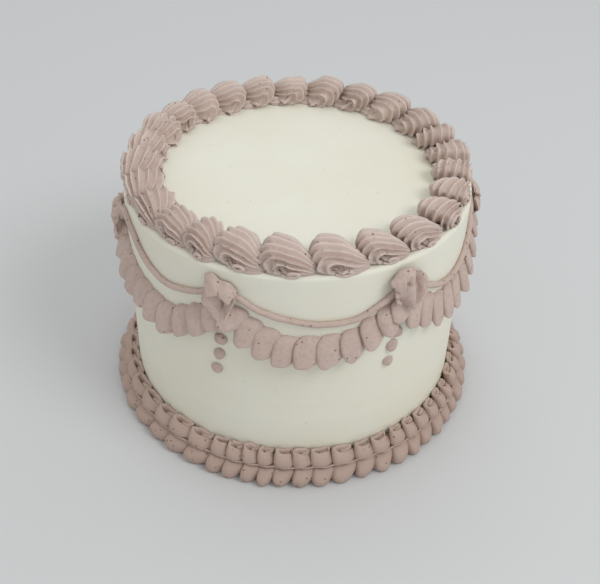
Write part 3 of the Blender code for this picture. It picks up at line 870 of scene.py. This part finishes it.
LOWER_LEAF = (
    (-2.5, 3.6, 8.4, -2.5, 6.6, 0.9), (-0.5, 3.4, 8.4, -0.5, 6.4, 0.9), (1.5, 3.0, 8.4, 1.5, 6.0, 0.9),
    (2.4, 2.4, 8.4, 2.4, 5.4, 0.9), (1.8, 1.8, 8.4, 1.8, 4.8, 1.0), (0.0, 1.6, 8.4, 0.0, 4.6, 1.0),
    (-1.8, 1.9, 8.4, -2.4, 4.8, 1.0), (-2.9, 2.8, 8.5, -4.2, 5.9, 1.0), (-3.8, 4.0, 8.6, -5.3, 7.6, 0.9),
    (-3.4, 4.9, 8.6, -4.6, 9.5, 0.6), (-1.7, 5.4, 8.5, -2.2, 10.4, 0.5), (1.2, 5.0, 8.4, 0.6, 9.5, 1.0),
    (3.8, 4.1, 8.3, 2.8, 7.0, 2.0), (5.8, 3.0, 8.2, 4.6, 4.7, 3.2), (7.4, 2.2, 8.2, 6.2, 3.4, 4.0),
)
# The seam in mm: half its length, how far out and how high it runs, and its points along and round
SEAM_HALF, SEAM_OUT, SEAM_HEIGHT = 4.95, 7.45, 9.7
SEAM_POINTS, SEAM_ROUND = 12, 6
# Angle from the front of each joint between two folds, as far round as the photo shows them, and the
# number of even folds behind
FOOT_JOINTS = (
    -65.0, -56.7, -48.2, -40.6, -32.6, -24.7, -19.2, -13.7, -8.7, -3.9, 2.0, 8.0, 14.6, 21.9, 28.2, 34.6, 40.8,
    46.4, 52.6, 58.6, 64.1, 69.7,
)
FOLDS_BEHIND = 31


def leaf(folds, bulge, thickness, ragged, seed):
    """bulge: how far the sheet bows out halfway down, at the inner end, at the nose and at the right end."""
    rng = np.random.default_rng(seed)
    folds = np.array(folds)
    folds[:3, 2] -= rng.uniform(0.0, 1.0)
    folds += rng.normal(0, 0.22, folds.shape) * (1.0, 0.7, 1.5, 0.8, 0.8, 1.0)
    line = through(folds, FOOT_POINTS)
    line[:, 4:] += ragged * rng.normal(0, 1, (FOOT_POINTS, 2))
    point = np.arange(FOOT_POINTS)
    share = np.linspace(0, 1, LEAF_ROWS)
    grid = line[:, None, :3] * (1 - share)[None, :, None] + line[:, None, 3:] * share[None, :, None]
    bow_out = np.interp(point, (0, 18, 24, 37), (0, *bulge))[:, None]
    bulging = bow_out * np.sin(math.pi * share**0.85)
    grid[..., 0] -= 0.26 * bulging * np.interp(point, (15, 20, 24, 31), (0, 1, 1, 0))[:, None]
    grid[..., 1] += bulging
    grid[..., 1] *= -1
    half = np.repeat(thickness * (0.80 + 0.26 * share)[None, :], FOOT_POINTS, axis=0)
    return thick_sheet(grid, half)


def foot_piece(name, folds, bulge, thickness, ragged, seed):
    sheet = leaf(folds, bulge, thickness, ragged, seed)
    # Painted highlight along the top rim of each leaf.
    light = np.zeros(sheet.shape[:2])
    light[:, [0, -3, -2, -1]] = 0.85
    return piped_piece(name, [np.maximum(sheet, (-99, -99, 0.05))], [light])


def foot_seam(name):
    along = np.linspace(-SEAM_HALF, SEAM_HALF, SEAM_POINTS)[:, None]
    turn = np.linspace(0, 2 * math.pi, SEAM_ROUND, endpoint=False)
    rings = np.zeros((SEAM_POINTS, SEAM_ROUND, 3))
    rings[..., 0] = along
    rings[..., 1] = -SEAM_OUT - 0.30 * np.cos(along * math.pi / 4.8) - 0.55 * np.cos(turn)
    rings[..., 2] = SEAM_HEIGHT + 0.12 * np.sin(along * math.pi / 4.8) + 0.34 * np.sin(turn)
    # Painted highlight over the whole seam.
    return piped_piece(name, [rings], [np.ones((SEAM_POINTS, SEAM_ROUND))])


leaves = []
for n in range(LEAF_KINDS):
    leaves.append(foot_piece(f"leaf_{n:02d}", UPPER_LEAF, (0.0, 0.9, 0.2), 1.12, 0.0, 30 + n))
for n in range(LEAF_KINDS, 2 * LEAF_KINDS):
    leaves.append(foot_piece(f"leaf_{n:02d}", LOWER_LEAF, (1.0, 3.5, 1.2), 0.80, 0.26, 34 + n))
leaves.append(foot_seam("seam"))
foot_rng = np.random.default_rng(21)
behind = np.linspace(FOOT_JOINTS[-1], FOOT_JOINTS[0] + 360, FOLDS_BEHIND + 1)[1:]
behind[:-1] += foot_rng.uniform(-0.5, 0.5, FOLDS_BEHIND - 1)
joints = np.append(FOOT_JOINTS, behind)
foot_places = []
for start, end in zip(joints[:-1], joints[1:]):
    along = math.radians(start + end) / 2 * CAKE_RADIUS
    width = math.radians(end - start) * CAKE_RADIUS / (FOOT_PITCH * MM)
    for layer in range(2):
        kind = LEAF_KINDS * layer + foot_rng.integers(LEAF_KINDS)
        tilt = 0.04 * foot_rng.uniform(-1, 1)
        deep = 1.0 + 0.04 * foot_rng.uniform(-1, 1)
        tall = 1.0 + 0.04 * foot_rng.uniform(-1, 1) if layer == 0 else 1.0
        foot_places.append((along, 0.0, FOOT_LIFT, kind, 0, tilt, 0, width, deep, tall))
    foot_places.append((along, 0.0, FOOT_LIFT, 2 * LEAF_KINDS, 0, 0, 0, width, 1.0, 1.0))
foot = set_out("foot_ruffle", foot_places, leaves, CAKE_RADIUS, 0.0009, 100.0, 18.0)
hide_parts("foot_border")
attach(foot, "root")

# The stand-in studio: a pale matt floor, and soft light from a large round lamp above the front and
# right, a second one above the back, and a white room.
FLOOR_SIZE = 6.0
FLOOR_DROP = 0.0001
FLOOR_GREY = (0.64, 0.645, 0.65, 1)
ROOM_WHITE = (0.985, 0.99, 0.985, 1)
ROOM_STRENGTH = 0.68
bpy.ops.mesh.primitive_plane_add(size=FLOOR_SIZE, location=(0, 0, -FLOOR_DROP))
floor = bpy.context.object
floor.name = "floor"
pale = bpy.data.materials.new("Pale floor")
pale.use_nodes = True
pale.node_tree.nodes["Principled BSDF"].inputs["Base Color"].default_value = FLOOR_GREY
pale.node_tree.nodes["Principled BSDF"].inputs["Roughness"].default_value = 0.7
floor.data.materials.append(pale)


def soft_light(name, place, aim, size, power, tint):
    lamp = bpy.data.lights.new(name, "AREA")
    lamp.color = tint
    lamp.shape = "DISK"
    lamp.size = size
    lamp.energy = power
    held = bpy.data.objects.new(name, lamp)
    held.location = place
    way = Matrix.Translation(place).inverted() @ Matrix.Translation(aim)
    held.rotation_euler = way.to_translation().to_track_quat("-Z", "Y").to_euler()
    bpy.context.scene.collection.objects.link(held)


soft_light("Key light", (0.75, -0.55, 1.15), (0, 0, 0.08), 0.6, 5.95, (0.96, 0.99, 1.0))
soft_light("Top light", (-0.2, 0.5, 1.4), (0, 0, 0.1), 0.7, 1.7, (0.84, 0.93, 1.0))
room = bpy.data.worlds.new("Soft white room")
room.use_nodes = True
room.node_tree.nodes["Background"].inputs["Color"].default_value = ROOM_WHITE
room.node_tree.nodes["Background"].inputs["Strength"].default_value = ROOM_STRENGTH
bpy.context.scene.world = room
bpy.context.scene.view_settings.view_transform = "Standard"

# The camera stands in front of the cake and looks down on it, as in the photo.
# Its place, pitch and roll were fitted to the cake's rim and foot.
CAMERA_PLACE = (0.00283, -0.38909, 0.35891)
CAMERA_DOWN = 38.977
CAMERA_ROLL = 1.944
lens = bpy.data.cameras.new("Camera")
lens.lens = 58.25
lens.sensor_width = 36.0
lens.clip_start = 0.01
camera = bpy.data.objects.new("Camera", lens)
camera.matrix_world = (
    Matrix.Translation(CAMERA_PLACE)
    @ Matrix.Rotation(math.radians(90 - CAMERA_DOWN), 4, "X")
    @ Matrix.Rotation(math.radians(CAMERA_ROLL), 4, "Z")
)
bpy.context.scene.collection.objects.link(camera)
bpy.context.scene.camera = camera
